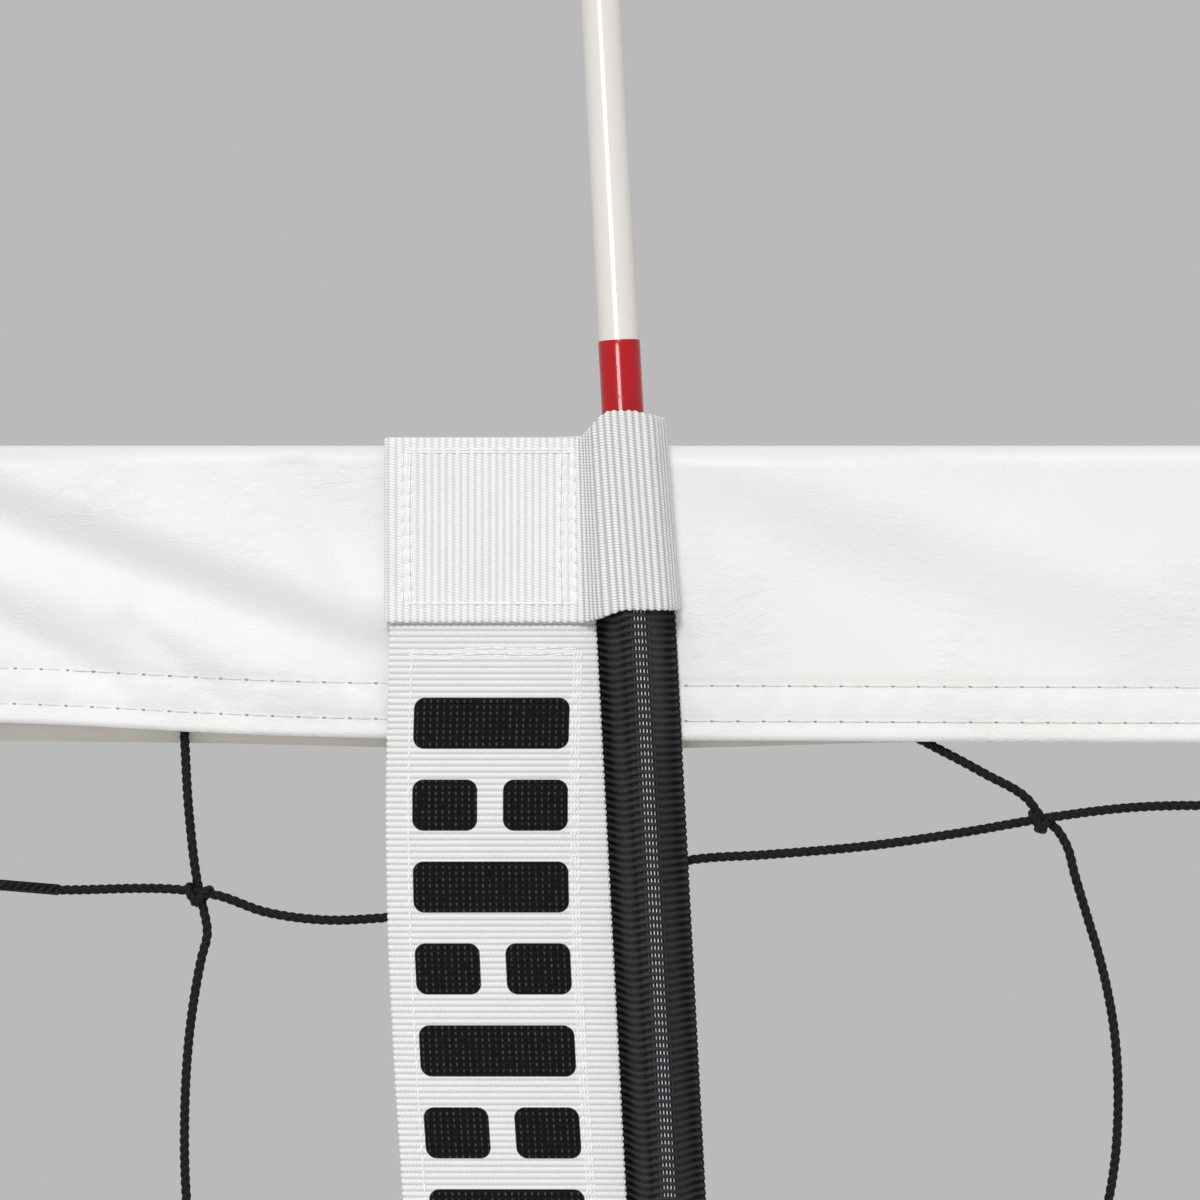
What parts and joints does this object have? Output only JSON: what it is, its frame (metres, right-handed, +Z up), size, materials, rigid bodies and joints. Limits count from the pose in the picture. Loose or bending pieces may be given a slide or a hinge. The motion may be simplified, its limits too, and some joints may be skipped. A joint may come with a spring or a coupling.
{
  "type": "volleyball net with side markers and antennas",
  "caption": "Indoor volleyball net with a coated head band, netting, foot band, side markers held by hook-and-loop flaps, and striped antennas in tubular sleeves.",
  "frame": {"origin": "middle of the net's top edge, on the line that its head cable is strung along", "axes": "+X along the net to the right of a viewer who faces the side that the right marker hangs on; -Y towards that viewer; +Z up"},
  "size_m": [9.6594, 0.0352, 1.8373],
  "materials": {
    "coated_cloth": "satin coated cloth",
    "white_webbing": "ribbed woven webbing",
    "sewing_thread": "twisted polyester thread",
    "head_cable": "clear-coated steel cable",
    "foot_rope": "braided polyester",
    "steel": "galvanised",
    "ferrule_metal": "pressed",
    "net_cord": "twisted black cord",
    "black_plastic": "matte",
    "end_rod": "drawn glass fibre",
    "brass": "satin",
    "loop_pile": "looped pile",
    "hook_pile": "hooked pile",
    "black_webbing": "ribbed tubular webbing",
    "black_thread": "twisted thread",
    "white_rod": "gloss painted glass fibre",
    "red_tape": "gloss tape",
    "rubber": "matte"
  },
  "bodies": {
    "net": {"head_band": "coated_cloth", "head_band_stitching": "sewing_thread", "head_cable": "head_cable", "left_head_thimble": "steel", "right_head_thimble": "steel", "left_head_ferrule": "ferrule_metal", "right_head_ferrule": "ferrule_metal", "netting_uprights": "net_cord", "netting_rows": "net_cord", "foot_band": "coated_cloth", "foot_band_stitching": "sewing_thread", "foot_rope": "foot_rope", "left_foot_thimble": "black_plastic", "right_foot_thimble": "black_plastic", "left_foot_seizing": "foot_rope", "right_foot_seizing": "foot_rope", "left_end_tape": "white_webbing", "right_end_tape": "white_webbing", "left_end_rod": "end_rod", "right_end_rod": "end_rod", "left_grommets": "brass", "right_grommets": "brass", "left_marker_strap": "white_webbing", "right_marker_strap": "white_webbing", "left_strap_stitching": "sewing_thread", "right_strap_stitching": "sewing_thread", "left_loop_patches": "loop_pile", "right_loop_patches": "loop_pile", "left_antenna_sleeve": "black_webbing", "right_antenna_sleeve": "black_webbing", "left_sleeve_bartack": "black_thread", "right_sleeve_bartack": "black_thread", "left_top_wrap": "white_webbing", "right_top_wrap": "white_webbing", "left_wrap_stitching": "sewing_thread", "right_wrap_stitching": "sewing_thread"},
    "left_antenna": {"left_antenna_rod": "white_rod", "left_antenna_bands": "red_tape", "left_antenna_tip": "rubber", "left_antenna_foot": "rubber"},
    "left_top_fastening": {"left_top_flap": "white_webbing", "left_top_hook_patch": "hook_pile"},
    "left_bottom_fastening": {"left_bottom_flap": "white_webbing", "left_bottom_hook_patch": "hook_pile"},
    "right_antenna": {"right_antenna_rod": "white_rod", "right_antenna_bands": "red_tape", "right_antenna_tip": "rubber", "right_antenna_foot": "rubber"},
    "right_top_fastening": {"right_top_flap": "white_webbing", "right_top_hook_patch": "hook_pile"},
    "right_bottom_fastening": {"right_bottom_flap": "white_webbing", "right_bottom_hook_patch": "hook_pile"}
  },
  "joints": [
    {"name": "left_antenna_slide", "type": "slide", "parent": "net", "child": "left_antenna", "axis": [0.0523, 0, 0.9986], "range_m": [0, 0.9]},
    {"name": "left_top_flap_hinge", "type": "hinge", "parent": "net", "child": "left_top_fastening", "pos_m": [-4.467, -0.0043, 0.001], "axis": [-1, 0, 0], "range_deg": [0, 135]},
    {"name": "left_bottom_flap_hinge", "type": "hinge", "parent": "net", "child": "left_bottom_fastening", "pos_m": [-4.5194, -0.0043, -1.001], "axis": [1, 0, 0], "range_deg": [0, 135]},
    {"name": "right_antenna_slide", "type": "slide", "parent": "net", "child": "right_antenna", "axis": [-0.0523, 0, 0.9986], "range_m": [0, 0.9]},
    {"name": "right_top_flap_hinge", "type": "hinge", "parent": "net", "child": "right_top_fastening", "pos_m": [4.467, 0.0043, 0.001], "axis": [1, 0, 0], "range_deg": [0, 135]},
    {"name": "right_bottom_flap_hinge", "type": "hinge", "parent": "net", "child": "right_bottom_fastening", "pos_m": [4.5194, 0.0043, -1.001], "axis": [-1, 0, 0], "range_deg": [0, 135]}
  ]
}
